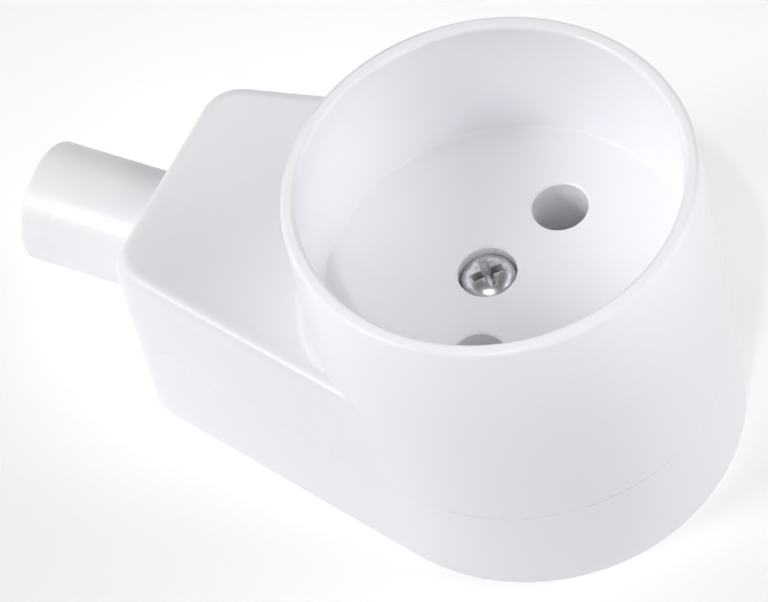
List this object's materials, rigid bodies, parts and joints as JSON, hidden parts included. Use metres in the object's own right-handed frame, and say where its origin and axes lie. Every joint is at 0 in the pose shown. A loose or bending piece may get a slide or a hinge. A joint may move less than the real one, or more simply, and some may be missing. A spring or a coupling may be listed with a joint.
{
  "type": "right-angled trailing socket",
  "caption": "Right-angled trailing socket: a round cup with a deep plug recess and pin holes, on a flat tapered body with a cable sleeve at its narrow end.",
  "frame": {"origin": "on the cup's axis, at the flat underside of the back cover", "axes": "+Z points out of the cup, against the direction in which the plug goes in; the cable leaves towards -X; the pin holes lie along Y, 0.9 mm towards +X from the cup's axis"},
  "size_m": [0.0751, 0.0414, 0.0384],
  "materials": {
    "housing": "glossy white moulding",
    "sleeve": "smooth white moulding",
    "plated_steel": "nickel-plated",
    "contact_brass": "turned brass",
    "spring_steel": "blued spring steel",
    "clamp": "plain moulding"
  },
  "bodies": {
    "root": {"front_housing": "housing", "back_cover": "housing", "cable_sleeve": "sleeve", "fixing_screw": "plated_steel", "fixing_nut": "plated_steel", "contact_left": "contact_brass", "contact_right": "contact_brass", "contact_spring_left": "spring_steel", "contact_spring_right": "spring_steel", "terminal_screw_left": "plated_steel", "terminal_screw_right": "plated_steel", "cord_clamp": "clamp", "cord_clamp_screw_left": "plated_steel", "cord_clamp_screw_right": "plated_steel"}
  },
  "joints": []
}
